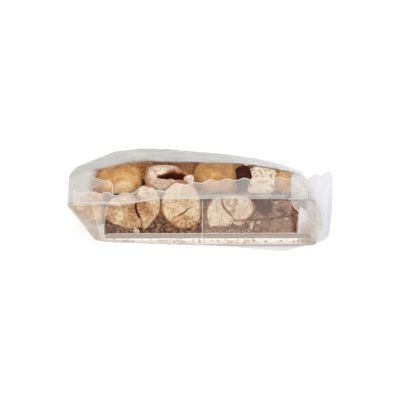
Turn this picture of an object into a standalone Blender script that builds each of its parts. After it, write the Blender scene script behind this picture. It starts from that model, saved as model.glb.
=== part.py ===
"""Bar of nut brittle sealed in a clear film bag, as one closed solid: the outer form of the bag.

Metres, +Z up. The bag lies on its flat base. The film is drawn tight over the bar inside it and
runs out to a crimped end seal in front (-Y) and behind (+Y). The front seal is folded up across
the front of the bag, the back one hangs outwards, and two loose parts of the film stand free: an
ear at the front right corner and a lip on the table. The origin is the middle of the base.
"""

import math

import bmesh
import bpy
from mathutils import Vector

# Bar inside the bag
BAR_LEFT = -0.0420
BAR_RIGHT = 0.0345
BAR_FRONT = -0.0187
BAR_BACK = 0.0200
BAR_TOP = 0.0190

# Film body
BAG_LEFT = -0.0457
BAG_RIGHT = 0.0424
BASE_FRONT = -0.0270
BASE_BACK = 0.0260
SIDE_FOLD_HEIGHT = 0.0130
BASE_ROUNDING = 0.0016
FOLD_ROUNDING = 0.0008
TOP_ROUNDING = 0.0030
BALL_RINGS = 5
BALL_INSET = 0.7
MERGE_DISTANCE = 0.00002

# Front end seal, folded up: its root line and its cut edge
SEAL_FRONT = -0.0240
SEAL_LEFT = -0.0430
SEAL_RIGHT = 0.0365
SEAL_ROOT_LEFT = 0.0142
SEAL_ROOT_RIGHT = 0.0163
SEAL_RISE_FROM = -0.0275
SEAL_RISE_TO = -0.0125
SEAL_SHOULDER_LEFT = 0.0012
SEAL_SHOULDER_RIGHT = 0.0004
SEAL_WIDTH_LEFT = 0.0050
SEAL_WIDTH_RIGHT = 0.0076
SEAL_SWELLS = (
    # place along X, reach, change of width
    (-0.0230, 0.0130, -0.0017),
    (-0.0190, 0.0036, 0.0010),
    (-0.0133, 0.0032, -0.0024),
    (-0.0035, 0.0050, -0.0008),
)
SEAL_LEAN_LEFT = math.radians(42.0)
SEAL_LEAN_RIGHT = math.radians(20.0)

# Back end seal, hanging outwards
BACK_SEAL_LEFT = -0.0385
BACK_SEAL_RIGHT = 0.0355
BACK_SEAL_Y = 0.0268
BACK_SEAL_Z = 0.0098
BACK_SEAL_WIDTH = 0.0070
BACK_SEAL_DROP = math.radians(35.0)

# The wavy cut of both seals
SCALLOP_PITCH = 0.0058
SCALLOP_HEIGHT = 0.0008
COLUMNS_PER_SCALLOP = 4

# Loose film: the ear at the right and the lip in front
EAR_RIGHT = 0.0453
EAR_BACK = -0.0118
EAR_FOOT = 0.0008
EAR_TOP = 0.0215
EAR_LEVELS = 6
LIP_FRONT = -0.0330
LIP_BACK = -0.0260
LIP_HEIGHT = 0.0004
LOOSE_FILM = 0.0006
FILM_EMBED = 0.0016

FILM_COLOR = (0.80, 0.79, 0.78, 1.0)
FILM_ROUGHNESS = 0.25
SHARP_ANGLE = math.radians(35.0)


def clear_scene():
    for thing in list(bpy.data.objects):
        bpy.data.objects.remove(thing, do_unlink=True)


def smooth_step(low, high, value):
    share = min(max((value - low) / (high - low), 0.0), 1.0)
    return share * share * (3.0 - 2.0 * share)


def mix(first, second, share):
    return first + (second - first) * share


def film_material():
    film = bpy.data.materials.new("clear_film")
    film.use_nodes = True
    shader = film.node_tree.nodes["Principled BSDF"]
    shader.inputs["Base Color"].default_value = FILM_COLOR
    shader.inputs["Roughness"].default_value = FILM_ROUGHNESS
    shader.inputs["Metallic"].default_value = 0.0
    return film


def base_outline():
    """Corners of the flat base on the table, front left first and round by the right."""
    return [
        (-0.0362, BASE_FRONT + 0.0046, 0.0),
        (-0.0325, BASE_FRONT + 0.0032, 0.0),
        (0.0, BASE_FRONT - 0.0004, 0.0),
        (0.0300, BASE_FRONT - 0.0014, 0.0),
        (0.0396, BASE_FRONT - 0.0002, 0.0),
        (BAG_RIGHT - 0.0006, -0.0205, 0.0),
        (BAG_RIGHT - 0.0025, 0.0120, 0.0),
        (0.0350, BASE_BACK - 0.0010, 0.0),
        (-0.0340, BASE_BACK, 0.0),
        (-0.0385, 0.0120, 0.0),
        (-0.0375, -0.0080, 0.0),
    ]


def fold_lines():
    """The front seal's root, the folds along the left and right sides, and the back seal's root."""
    front = [
        (BAG_LEFT + 0.0006, SEAL_FRONT + 0.0025, SIDE_FOLD_HEIGHT + 0.0004),
        (-0.0250, SEAL_FRONT, SEAL_ROOT_LEFT),
        (-0.0100, SEAL_FRONT, SEAL_ROOT_RIGHT),
        (0.0300, SEAL_FRONT, SEAL_ROOT_RIGHT),
        (BAG_RIGHT - 0.0030, SEAL_FRONT + 0.0022, SEAL_ROOT_RIGHT - 0.0018),
    ]
    left = [
        (BAG_LEFT, -0.0040, SIDE_FOLD_HEIGHT + 0.0006),
        (BAG_LEFT + 0.0009, 0.0100, SIDE_FOLD_HEIGHT + 0.0012),
        (BAG_LEFT + 0.0024, 0.0180, SIDE_FOLD_HEIGHT + 0.0010),
        (BAG_LEFT - 0.0001, 0.0040, SIDE_FOLD_HEIGHT + 0.0032),
        (BAG_LEFT + 0.0020, 0.0100, SIDE_FOLD_HEIGHT + 0.0041),
    ]
    right = [
        (BAG_RIGHT, -0.0190, 0.0040),
        (BAG_RIGHT - 0.0042, 0.0040, SIDE_FOLD_HEIGHT),
        (BAG_RIGHT - 0.0044, 0.0150, SIDE_FOLD_HEIGHT - 0.0023),
    ]
    back = [
        (BACK_SEAL_LEFT, BACK_SEAL_Y, BACK_SEAL_Z),
        (BACK_SEAL_RIGHT, BACK_SEAL_Y, BACK_SEAL_Z - 0.0012),
    ]
    return front + left + right + back


def bar_top():
    """High spots of the bar that hold the film up: front edge, back edge, then the middle."""
    front = [
        (BAR_LEFT + 0.0080, BAR_FRONT + 0.0020, BAR_TOP),
        (BAR_LEFT + 0.0320, BAR_FRONT + 0.0010, BAR_TOP + 0.0015),
        (0.0050, BAR_FRONT + 0.0010, BAR_TOP + 0.0016),
        (0.0220, BAR_FRONT + 0.0020, BAR_TOP + 0.0004),
        (BAR_RIGHT - 0.0010, BAR_FRONT + 0.0030, BAR_TOP - 0.0006),
    ]
    back = [
        (BAR_LEFT + 0.0030, BAR_BACK - 0.0020, BAR_TOP - 0.0013),
        (BAR_LEFT + 0.0102, BAR_BACK + 0.0015, BAR_TOP + 0.0008),
        (BAR_LEFT + 0.0190, BAR_BACK + 0.0010, BAR_TOP + 0.0020),
        (-0.0130, BAR_BACK + 0.0015, BAR_TOP + 0.0016),
        (0.0, BAR_BACK + 0.0015, BAR_TOP + 0.0006),
        (0.0110, BAR_BACK + 0.0010, BAR_TOP - 0.0001),
        (0.0220, BAR_BACK + 0.0010, BAR_TOP - 0.0017),
        (0.0305, BAR_BACK, BAR_TOP - 0.0035),
        (BAR_RIGHT + 0.0022, BAR_BACK - 0.0010, BAR_TOP - 0.0057),
    ]
    middle = [
        (BAR_LEFT + 0.0030, -0.0060, BAR_TOP - 0.0006),
        (BAR_LEFT + 0.0180, 0.0080, BAR_TOP + 0.0028),
        (0.0, 0.0060, BAR_TOP + 0.0018),
        (0.0220, 0.0040, BAR_TOP + 0.0002),
        (BAR_RIGHT, -0.0020, BAR_TOP - 0.0018),
    ]
    return front + back + middle


def ball_points(x, y, top, radius):
    """Points on a ball whose top is at this height, and that never sinks below the base."""
    inset = BALL_INSET * radius
    centre = Vector((x - math.copysign(inset, x), y - math.copysign(inset, y), max(top - radius, radius)))
    points = []
    for ring in range(BALL_RINGS + 1):
        tilt = math.pi * ring / BALL_RINGS
        steps = 2 * BALL_RINGS if 0 < ring < BALL_RINGS else 1
        for step in range(steps):
            turn = math.tau * step / steps
            across = math.sin(tilt)
            offset = Vector((across * math.cos(turn), across * math.sin(turn), -math.cos(tilt)))
            points.append(centre + offset * radius)
    return points


def film_body():
    """The tight film is the common skin of small balls at the base, the folds and the bar's top."""
    shape = bmesh.new()
    for places, radius in (
        (base_outline(), BASE_ROUNDING),
        (fold_lines(), FOLD_ROUNDING),
        (bar_top(), TOP_ROUNDING),
    ):
        for place in places:
            for point in ball_points(*place, radius):
                shape.verts.new(point)
    skin = bmesh.ops.convex_hull(shape, input=shape.verts)
    inside = set(skin["geom_interior"] + skin["geom_unused"])
    spare = [item for item in inside if isinstance(item, bmesh.types.BMVert)]
    bmesh.ops.delete(shape, geom=spare, context="VERTS")
    bmesh.ops.remove_doubles(shape, verts=shape.verts, dist=MERGE_DISTANCE)
    bmesh.ops.recalc_face_normals(shape, faces=shape.faces)
    mesh = bpy.data.meshes.new("film_body")
    shape.to_mesh(mesh)
    shape.free()
    return mesh


def scallop(distance):
    """How far the wavy cut stands out or in at this distance along a seal."""
    return 0.5 * SCALLOP_HEIGHT * math.cos(math.tau * distance / SCALLOP_PITCH)


def seal_columns(left, right):
    count = round((right - left) / SCALLOP_PITCH * COLUMNS_PER_SCALLOP)
    return [mix(left, right, step / count) for step in range(count + 1)]


def front_seal_width(x):
    share = (x - SEAL_LEFT) / (SEAL_RIGHT - SEAL_LEFT)
    swell = sum(change * math.exp(-(((x - place) / reach) ** 2)) for place, reach, change in SEAL_SWELLS)
    return mix(SEAL_WIDTH_LEFT, SEAL_WIDTH_RIGHT, share) + swell + scallop(x - SEAL_LEFT)


def front_seal_rows():
    """The seal stands up from its root, over a short shoulder, and leans back over the bag."""
    rows = [[], [], [], []]
    for x in seal_columns(SEAL_LEFT, SEAL_RIGHT):
        share = (x - SEAL_LEFT) / (SEAL_RIGHT - SEAL_LEFT)
        rise = smooth_step(SEAL_RISE_FROM, SEAL_RISE_TO, x)
        root = Vector((x, SEAL_FRONT - 0.0003, mix(SEAL_ROOT_LEFT, SEAL_ROOT_RIGHT, rise) - 0.0004))
        shoulder = root + Vector((0.0, -0.0002, mix(SEAL_SHOULDER_LEFT, SEAL_SHOULDER_RIGHT, rise)))
        lean = mix(SEAL_LEAN_LEFT, SEAL_LEAN_RIGHT, smooth_step(0.15, 0.60, share))
        leaning = front_seal_width(x) - (shoulder - root).length
        rows[0].append(root + Vector((0.0, FILM_EMBED, 0.0)))
        rows[1].append(root)
        rows[2].append(shoulder)
        rows[3].append(shoulder + Vector((0.0, math.sin(lean), math.cos(lean))) * leaning)
    return rows


def back_seal_rows():
    rows = [[], []]
    out = Vector((0.0, math.cos(BACK_SEAL_DROP), -math.sin(BACK_SEAL_DROP)))
    for x in seal_columns(BACK_SEAL_LEFT, BACK_SEAL_RIGHT):
        root = Vector((x, BACK_SEAL_Y, BACK_SEAL_Z - 0.0012))
        rows[0].append(root - out * FILM_EMBED)
        rows[1].append(root + out * (BACK_SEAL_WIDTH + scallop(x - BACK_SEAL_LEFT)))
    return rows


def ear_rows():
    """The ear stands on the table outside the right side, and the wavy cut is its top edge."""
    feet = [(0.0360, -0.0255), (0.0395, -0.0242), (0.0418, -0.0222), (0.0434, -0.0192), (0.0443, -0.0160)]
    tops = [(0.0380, -0.0025), (0.0397, -0.0007), (0.0412, -0.0012), (0.0436, 0.0007), (EAR_RIGHT, 0.0)]
    foot = [Vector((x, y, EAR_FOOT)) for x, y in feet]
    head = [Vector((x, EAR_BACK, EAR_TOP + rise)) for x, rise in tops]
    shares = [level / EAR_LEVELS for level in range(EAR_LEVELS + 1)]
    return [[low.lerp(high, share) for low, high in zip(foot, head)] for share in shares]


def lip_rows():
    """The lip lies on the table in front of the right half of the bag."""
    back = [(0.0030, LIP_BACK), (0.0256, LIP_BACK), (0.0300, LIP_BACK), (0.0345, LIP_BACK)]
    front = [(0.0048, -0.0276), (0.0256, LIP_FRONT), (0.0292, LIP_FRONT), (0.0345, -0.0287)]
    return [[Vector((x, y, LIP_HEIGHT)) for x, y in row] for row in (back, front)]


def film_plate(name, rows):
    """A closed plate through a grid of points, as thick as the loose film's solid."""
    shape = bmesh.new()
    grid = [[shape.verts.new(point) for point in row] for row in rows]
    for low, high in zip(grid, grid[1:]):
        for step in range(len(low) - 1):
            shape.faces.new((low[step], low[step + 1], high[step + 1], high[step]))
    mesh = bpy.data.meshes.new(name)
    shape.to_mesh(mesh)
    shape.free()
    plate = bpy.data.objects.new(name, mesh)
    thick = plate.modifiers.new("thickness", "SOLIDIFY")
    thick.thickness = LOOSE_FILM
    thick.offset = 0.0
    return plate


def join_loose_film(bag):
    """One Boolean union fuses the seals, the ear and the lip to the body."""
    loose = bpy.data.collections.new("loose_film")
    bpy.context.scene.collection.children.link(loose)
    for name, rows in (
        ("front_seal", front_seal_rows()),
        ("back_seal", back_seal_rows()),
        ("ear", ear_rows()),
        ("lip", lip_rows()),
    ):
        loose.objects.link(film_plate(name, rows))
    union = bag.modifiers.new("loose_film", "BOOLEAN")
    union.operation = "UNION"
    union.operand_type = "COLLECTION"
    union.collection = loose
    graph = bpy.context.evaluated_depsgraph_get()
    joined = bpy.data.meshes.new_from_object(bag.evaluated_get(graph))
    bag.modifiers.remove(union)
    bag.data = joined
    for plate in list(loose.objects):
        bpy.data.objects.remove(plate, do_unlink=True)
    bpy.data.collections.remove(loose)


def main():
    clear_scene()
    bag = bpy.data.objects.new("film_bag", film_body())
    bpy.context.scene.collection.objects.link(bag)
    join_loose_film(bag)
    bag.data.name = "film_bag"
    bag.data.materials.clear()
    bag.data.materials.append(film_material())
    bag.data.shade_smooth()
    bag.data.set_sharp_from_angle(angle=SHARP_ANGLE)


main()
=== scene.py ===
"""Looks of the bar of nut brittle in its clear film bag: film, seals, folds, brittle, nuts and crumbs.

Metres, +Z up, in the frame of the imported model. The film repeats the support points that the
bag's solid is drawn over, so that it lies where the solid is.
"""

import math
import random

import bmesh
import bpy
from mathutils import Euler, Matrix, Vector, noise
from mathutils.bvhtree import BVHTree


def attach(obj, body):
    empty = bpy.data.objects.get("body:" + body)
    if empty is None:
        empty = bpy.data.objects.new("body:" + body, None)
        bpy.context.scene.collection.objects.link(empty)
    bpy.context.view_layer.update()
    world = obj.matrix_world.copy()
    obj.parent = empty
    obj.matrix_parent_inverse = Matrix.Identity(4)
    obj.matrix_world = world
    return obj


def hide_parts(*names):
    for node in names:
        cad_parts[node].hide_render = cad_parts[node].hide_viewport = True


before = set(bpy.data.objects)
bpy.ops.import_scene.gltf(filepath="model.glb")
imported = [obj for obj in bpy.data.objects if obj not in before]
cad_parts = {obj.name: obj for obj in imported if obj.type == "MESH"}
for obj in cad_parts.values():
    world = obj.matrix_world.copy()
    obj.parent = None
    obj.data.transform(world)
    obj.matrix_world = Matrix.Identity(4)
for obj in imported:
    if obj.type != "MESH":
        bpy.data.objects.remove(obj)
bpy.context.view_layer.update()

# ---------------------------------------------------------------- camera and light
CAMERA_ELEVATION = math.radians(18.0)
CAMERA_DISTANCE = 0.80
CAMERA_TARGET = Vector((0.0, 0.0, 0.0077))
CAMERA_LENS = 206.3
SENSOR = 36.0
CAMERA_WAY = Vector((0.0, -math.cos(CAMERA_ELEVATION), math.sin(CAMERA_ELEVATION)))
CAMERA_PLACE = CAMERA_TARGET + CAMERA_DISTANCE * CAMERA_WAY

# ---------------------------------------------------------------- the bag, as in its solid
BAR_LEFT = -0.0420
BAR_RIGHT = 0.0345
BAR_FRONT = -0.0187
BAR_BACK = 0.0200
BAR_TOP = 0.0190
BAG_LEFT = -0.0457
BAG_RIGHT = 0.0424
BASE_FRONT = -0.0270
BASE_BACK = 0.0260
SIDE_FOLD_HEIGHT = 0.0130
BASE_ROUNDING = 0.0016
FOLD_ROUNDING = 0.0008
TOP_ROUNDING = 0.0030
BALL_RINGS = 5
BALL_INSET = 0.7
SEAL_FRONT = -0.0240
SEAL_LEFT = -0.0430
SEAL_RIGHT = 0.0365
SEAL_ROOT_LEFT = 0.0142
SEAL_ROOT_RIGHT = 0.0163
SEAL_RISE_FROM = -0.0275
SEAL_RISE_TO = -0.0125
SEAL_SHOULDER_LEFT = 0.0012
SEAL_SHOULDER_RIGHT = 0.0004
SEAL_WIDTH_LEFT = 0.0050
SEAL_WIDTH_RIGHT = 0.0076
SEAL_SWELLS = (
    # place along X, reach, change of width
    (-0.0230, 0.0130, -0.0017),
    (-0.0190, 0.0036, 0.0010),
    (-0.0133, 0.0032, -0.0024),
    (-0.0035, 0.0050, -0.0008),
)
SEAL_LEAN_LEFT = math.radians(42.0)
SEAL_LEAN_RIGHT = math.radians(20.0)
BACK_SEAL_LEFT = -0.0385
BACK_SEAL_RIGHT = 0.0355
BACK_SEAL_Y = 0.0268
BACK_SEAL_Z = 0.0098
BACK_SEAL_WIDTH = 0.0070
BACK_SEAL_DROP = math.radians(35.0)
SCALLOP_PITCH = 0.0058
SCALLOP_HEIGHT = 0.0008
CRIMP_PITCH = 0.0008
EAR_RIGHT = 0.0453
EAR_BACK = -0.0118
EAR_FOOT = 0.0008
EAR_TOP = 0.0215
LIP_FRONT = -0.0330
LIP_BACK = -0.0260
LIP_HEIGHT = 0.0004

FILM_VOXEL = 0.0007
FILM_ROUNDS = 2
FILM_STEP = 0.0004
PATCH_LIFT = 0.00012
CREASE_STEP = 0.00035
CREASE_LIFT = 0.00016
CREASE_HEIGHT = 0.00012
SEAL_LEVELS = 16
CARAMEL_VOXEL = 0.00045
CARAMEL_ROUNDS = 5
CARAMEL_FOOT = 0.0006
CLEARANCE = 0.0003
CUT_FACE = BAR_FRONT


def smooth_step(low, high, value):
    share = min(max((value - low) / (high - low), 0.0), 1.0)
    return share * share * (3.0 - 2.0 * share)


def mix(first, second, share):
    return first + (second - first) * share


def flat_noise(u, v, seed):
    """Noise over a plane, different for each seed."""
    return noise.noise(Vector((u, v, seed)))


def srgb(red, green, blue):
    """The linear colour of an sRGB colour given from 0 to 255."""
    linear = []
    for part in (red / 255.0, green / 255.0, blue / 255.0):
        linear.append(part / 12.92 if part <= 0.04045 else ((part + 0.055) / 1.055) ** 2.4)
    return (*linear, 1.0)


def mesh_of(shape, name):
    """The finished mesh of a shape under construction."""
    mesh = bpy.data.meshes.new(name)
    shape.to_mesh(mesh)
    shape.free()
    return mesh


def place_object(name, data):
    thing = bpy.data.objects.new(name, data)
    bpy.context.scene.collection.objects.link(thing)
    return thing


def add_object(name, mesh, material):
    mesh.materials.append(material)
    mesh.shade_smooth()
    return place_object(name, mesh)


def ride(piece):
    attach(piece, "root")
    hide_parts("film_bag")


# ---------------------------------------------------------------- materials
def set_stops(elements, stops):
    """Sets a ramp's stops, each a position and an sRGB colour or a plain grey level."""
    while len(elements) < len(stops):
        elements.new(1.0)
    for element, (position, color) in zip(elements, stops):
        element.position = position
        element.color = srgb(*color) if isinstance(color, tuple) else (color, color, color, 1.0)


class Shader:
    """A node material under construction. Factors and colours are sockets or plain values.

    A plain colour is an sRGB colour given from 0 to 255.
    """

    def __init__(self, name):
        self.material = bpy.data.materials.new(name)
        self.material.use_nodes = True
        self.tree = self.material.node_tree
        self.tree.nodes.clear()
        self.output = self.add("ShaderNodeOutputMaterial")
        self.place = self.add("ShaderNodeTexCoord").outputs["Object"]

    def add(self, kind, **settings):
        node = self.tree.nodes.new(kind)
        for key, value in settings.items():
            setattr(node, key, value)
        return node

    def feed(self, socket, value):
        if isinstance(value, bpy.types.NodeSocket):
            self.tree.links.new(value, socket)
        else:
            socket.default_value = srgb(*value) if isinstance(value, tuple) else value

    def stretched(self, scale):
        node = self.add("ShaderNodeMapping")
        self.feed(node.inputs["Vector"], self.place)
        node.inputs["Scale"].default_value = scale
        return node.outputs["Vector"]

    def noise(self, size, detail=3.0, roughness=0.55, place=None):
        """Noise with features of about this size, in metres."""
        node = self.add("ShaderNodeTexNoise")
        self.feed(node.inputs["Vector"], place or self.place)
        node.inputs["Scale"].default_value = 1.0 / size
        node.inputs["Detail"].default_value = detail
        node.inputs["Roughness"].default_value = roughness
        return node.outputs["Fac"]

    def cells(self, size):
        node = self.add("ShaderNodeTexVoronoi")
        self.feed(node.inputs["Vector"], self.place)
        node.inputs["Scale"].default_value = 1.0 / size
        return node.outputs["Distance"]

    def mask(self, part, name="masks"):
        """One channel of a colour attribute on the mesh."""
        node = self.add("ShaderNodeAttribute", attribute_name=name)
        split = self.add("ShaderNodeSeparateColor")
        self.feed(split.inputs[0], node.outputs["Color"])
        return split.outputs[part]

    def ramp(self, factor, *stops):
        node = self.add("ShaderNodeValToRGB")
        self.feed(node.inputs["Fac"], factor)
        set_stops(node.color_ramp.elements, stops)
        return node.outputs["Color"]

    def blend(self, factor, first, second):
        node = self.add("ShaderNodeMix", data_type="RGBA")
        self.feed(node.inputs[0], factor)
        self.feed(node.inputs[6], first)
        self.feed(node.inputs[7], second)
        return node.outputs[2]

    def maths(self, operation, first, second=0.0, clamp=False):
        node = self.add("ShaderNodeMath", operation=operation, use_clamp=clamp)
        self.feed(node.inputs[0], first)
        self.feed(node.inputs[1], second)
        return node.outputs[0]

    def plus(self, first, second):
        return self.maths("ADD", first, second)

    def times(self, first, second):
        return self.maths("MULTIPLY", first, second)

    def rest(self, share):
        """What is left of one after this share."""
        return self.maths("SUBTRACT", 1.0, share)

    def bump(self, height, distance):
        node = self.add("ShaderNodeBump")
        self.feed(node.inputs["Height"], height)
        node.inputs["Distance"].default_value = distance
        return node.outputs["Normal"]

    def principled(self, color, roughness, normal=None, **plain):
        node = self.add("ShaderNodeBsdfPrincipled")
        self.feed(node.inputs["Base Color"], color)
        self.feed(node.inputs["Roughness"], roughness)
        if normal is not None:
            self.feed(node.inputs["Normal"], normal)
        for key, value in plain.items():
            node.inputs[key.replace("_", " ")].default_value = value
        return node.outputs[0]

    def mix_shader(self, factor, first, second):
        node = self.add("ShaderNodeMixShader")
        self.feed(node.inputs[0], factor)
        self.feed(node.inputs[1], first)
        self.feed(node.inputs[2], second)
        return node.outputs[0]

    def finish(self, surface):
        self.feed(self.output.inputs["Surface"], surface)
        return self.material


def film_material(name, haze, tint, streaks=0.35, wrinkle=0.0006):
    """Thin clear film: a haze that thickens at a glancing view, under a soft two-sided reflection.

    The mesh may carry masks: extra haze, a darker brownish tint that is painted shade, and less shine.
    """
    shader = Shader(name)
    clear = shader.add("ShaderNodeBsdfTransparent")
    soft = shader.noise(0.0050, detail=4.0)
    fine = shader.noise(0.0011, detail=2.0)
    creased = shader.noise(0.0022, detail=3.0, place=shader.stretched((0.35, 1.0, 1.0)))
    normal = shader.bump(shader.plus(soft, shader.times(creased, 0.25)), wrinkle)
    veil = shader.add("ShaderNodeBsdfDiffuse")
    # painted shade: the veil turns a darker brownish grey where the mask asks for it
    warm_shade = shader.blend(shader.mask(1), tint, (160, 143, 127))
    tone = shader.blend(shader.times(fine, 0.2), warm_shade, (226, 224, 222))
    shader.feed(veil.inputs["Color"], tone)
    weight = shader.add("ShaderNodeLayerWeight")
    weight.inputs["Blend"].default_value = 0.5
    facing = weight.outputs["Facing"]
    slant = shader.maths("MAXIMUM", shader.maths("POWER", shader.rest(facing), 2.0), 0.04)
    spread = shader.ramp(soft, (0.30, 1.0 - streaks), (0.72, 1.0 + streaks))
    thick = shader.times(spread, shader.plus(shader.mask(0), haze))
    passed = shader.maths("POWER", math.exp(-1.0), shader.maths("DIVIDE", thick, slant))
    amount = shader.rest(passed)
    body = shader.mix_shader(amount, clear.outputs[0], veil.outputs[0])
    shine = shader.add("ShaderNodeBsdfAnisotropic")
    shine.inputs["Roughness"].default_value = 0.22
    shine.inputs["Color"].default_value = (0.96, 0.96, 0.96, 1.0)
    shader.feed(shine.inputs["Normal"], normal)
    schlick = shader.plus(shader.times(shader.maths("POWER", facing, 5.0), 0.96), 0.04)
    double = shader.maths("DIVIDE", shader.times(schlick, 2.0), shader.plus(schlick, 1.0))
    reflect = shader.maths("MULTIPLY", double, shader.rest(shader.mask(2)), clamp=True)
    return shader.finish(shader.mix_shader(reflect, body, shine.outputs[0]))


def caramel_material():
    """Dark hard caramel: broken and sugary, with painted sparkle on its sugar, lighter and redder towards
    the right end.
    """
    shader = Shader("dark_caramel")
    grain = shader.noise(0.0009, detail=5.0, roughness=0.85)
    coarse = shader.noise(0.0022, detail=3.0, roughness=0.7)
    patches = shader.noise(0.0050, detail=3.0)
    # the lightest flecks of the grain are partly light sugar and partly a painted highlight
    deep = shader.ramp(grain, (0.42, (50, 25, 17)), (0.50, (110, 68, 50)), (0.58, (204, 160, 128)))
    deep = shader.blend(shader.ramp(coarse, (0.44, 0.50), (0.54, 0.0)), deep, (60, 33, 24))
    red = shader.ramp(grain, (0.38, (134, 94, 74)), (0.50, (168, 124, 100)), (0.62, (200, 158, 134)))
    inner = shader.ramp(grain, (0.38, (30, 5, 2)), (0.52, (66, 18, 8)), (0.66, (116, 52, 26)))
    color = shader.blend(shader.mask(0), deep, red)
    color = shader.blend(shader.ramp(patches, (0.52, 0.0), (0.70, 0.30)), color, (116, 76, 54))
    dark_mass = shader.ramp(coarse, (0.4, (50, 19, 15)), (0.6, (74, 36, 28)))
    color = shader.blend(shader.mask(0, "spots"), color, dark_mass)
    pale = shader.ramp(grain, (0.4, (206, 176, 142)), (0.6, (240, 220, 190)))
    color = shader.blend(shader.mask(1, "spots"), color, pale)
    # painted shade: dark brown in the crack over the base layer and in the cleft between the nuts
    color = shader.blend(shader.mask(2, "spots"), color, (74, 34, 20))
    color = shader.blend(shader.mask(2), color, inner)
    amber = shader.ramp(grain, (0.40, (116, 50, 16)), (0.50, (190, 112, 46)), (0.60, (240, 184, 112)))
    color = shader.blend(shader.mask(1), color, amber)
    sugar = shader.cells(0.0008)
    # painted highlights: sparse light specks stand in for the sparkle of the sugar
    painted_glint_cells = shader.ramp(sugar, (0.16, 1.0), (0.30, 0.0))
    sparse = shader.ramp(shader.noise(0.0016, detail=1.0), (0.50, 0.0), (0.56, 0.85))
    outer = shader.rest(shader.mask(2))
    painted_glint_share = shader.times(shader.times(painted_glint_cells, sparse), outer)
    color = shader.blend(painted_glint_share, color, (200, 166, 138))
    normal = shader.bump(shader.plus(grain, shader.times(sugar, 0.5)), 0.0005)
    surface = shader.principled(color, shader.ramp(grain, (0.3, 0.4), (0.7, 0.75)), normal)
    shader.feed(surface.node.inputs["Specular IOR Level"], shader.times(outer, 0.25))
    return shader.finish(surface)


def amber_material():
    """Drops of clearer caramel, from orange to dark brown."""
    shader = Shader("amber_caramel")
    tone = shader.noise(0.0020, detail=3.0)
    color = shader.ramp(tone, (0.40, (92, 40, 16)), (0.50, (166, 92, 36)), (0.62, (232, 172, 96)))
    normal = shader.bump(shader.noise(0.0008, detail=3.0), 0.0004)
    return shader.finish(shader.principled(color, 0.35, normal, Specular_IOR_Level=0.45))


def whole_nut_material():
    """Skinned roasted nut under a thin glossy coat of caramel: tan, with cream patches and darker spots.
    """
    shader = Shader("roasted_nut")
    soft = shader.noise(0.0050, detail=4.0)
    fine = shader.noise(0.0008, detail=3.0, roughness=0.65)
    tan = shader.ramp(soft, (0.32, (160, 98, 42)), (0.48, (198, 138, 70)), (0.66, (222, 172, 108)))
    tan = shader.blend(shader.ramp(fine, (0.50, 0.0), (0.64, 0.45)), tan, (152, 94, 44))
    tan = shader.blend(shader.ramp(fine, (0.36, 0.4), (0.46, 0.0)), tan, (232, 192, 134))
    cream = shader.ramp(fine, (0.36, (222, 184, 130)), (0.62, (244, 218, 176)))
    color = shader.blend(shader.mask(2), tan, cream)
    color = shader.blend(shader.mask(1), color, (70, 36, 20))
    color = shader.blend(shader.mask(0), color, (158, 88, 38))
    normal = shader.bump(shader.plus(soft, shader.times(fine, 0.25)), 0.0006)
    return shader.finish(shader.principled(color, 0.46, normal, Specular_IOR_Level=0.35,
                                           Coat_Weight=0.12, Coat_Roughness=0.3))


def crumb_material():
    """Crumbs of nut, cream to golden."""
    shader = Shader("nut_crumbs")
    tone = shader.noise(0.0018, detail=3.0)
    color = shader.ramp(tone, (0.42, (248, 228, 196)), (0.52, (240, 206, 154)), (0.62, (218, 168, 106)))
    normal = shader.bump(shader.noise(0.0005, detail=2.0), 0.0003)
    return shader.finish(shader.principled(color, 0.6, normal, Specular_IOR_Level=0.3))


def cut_nut_material(name, low, middle, high):
    """Cream face of a cut or broken nut: brown specks, fine streaks, toasted parts, and dark red painted
    shade in cracks, slits and hollows.
    """
    shader = Shader(name)
    soft = shader.noise(0.0030, detail=4.0)
    fine = shader.noise(0.0008, detail=4.0, roughness=0.7)
    streaks = shader.noise(0.0012, detail=2.0, place=shader.stretched((2.2, 1.0, 0.35)))
    cream = shader.ramp(soft, (0.34, low), (0.50, middle), (0.66, high))
    cream = shader.blend(shader.ramp(streaks, (0.50, 0.0), (0.68, 0.35)), cream, (194, 152, 108))
    cream = shader.blend(shader.ramp(fine, (0.54, 0.0), (0.64, 0.70)), cream, (152, 106, 70))
    toasted = shader.ramp(fine, (0.36, (220, 178, 130)), (0.50, (182, 132, 86)), (0.64, (138, 86, 48)))
    color = shader.blend(shader.mask(2), cream, toasted)
    color = shader.blend(shader.mask(0), color, (172, 96, 38))
    # painted shade: dark red in the cracks, slits and hollows
    color = shader.blend(shader.mask(1), color, (90, 16, 4))
    normal = shader.bump(shader.plus(streaks, shader.times(fine, 0.8)), 0.0004)
    surface = shader.principled(color, 0.62, normal)
    shine = shader.times(shader.rest(shader.mask(1)), 0.3)
    shader.feed(surface.node.inputs["Specular IOR Level"], shine)
    return shader.finish(surface)


# ---------------------------------------------------------------- film body
def base_outline():
    """Corners of the flat base on the table, front left first and round by the right."""
    return [
        (-0.0362, BASE_FRONT + 0.0046, 0.0),
        (-0.0325, BASE_FRONT + 0.0032, 0.0),
        (0.0, BASE_FRONT - 0.0004, 0.0),
        (0.0300, BASE_FRONT - 0.0014, 0.0),
        (0.0396, BASE_FRONT - 0.0002, 0.0),
        (BAG_RIGHT - 0.0006, -0.0205, 0.0),
        (BAG_RIGHT - 0.0025, 0.0120, 0.0),
        (0.0350, BASE_BACK - 0.0010, 0.0),
        (-0.0340, BASE_BACK, 0.0),
        (-0.0385, 0.0120, 0.0),
        (-0.0375, -0.0080, 0.0),
    ]


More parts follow.
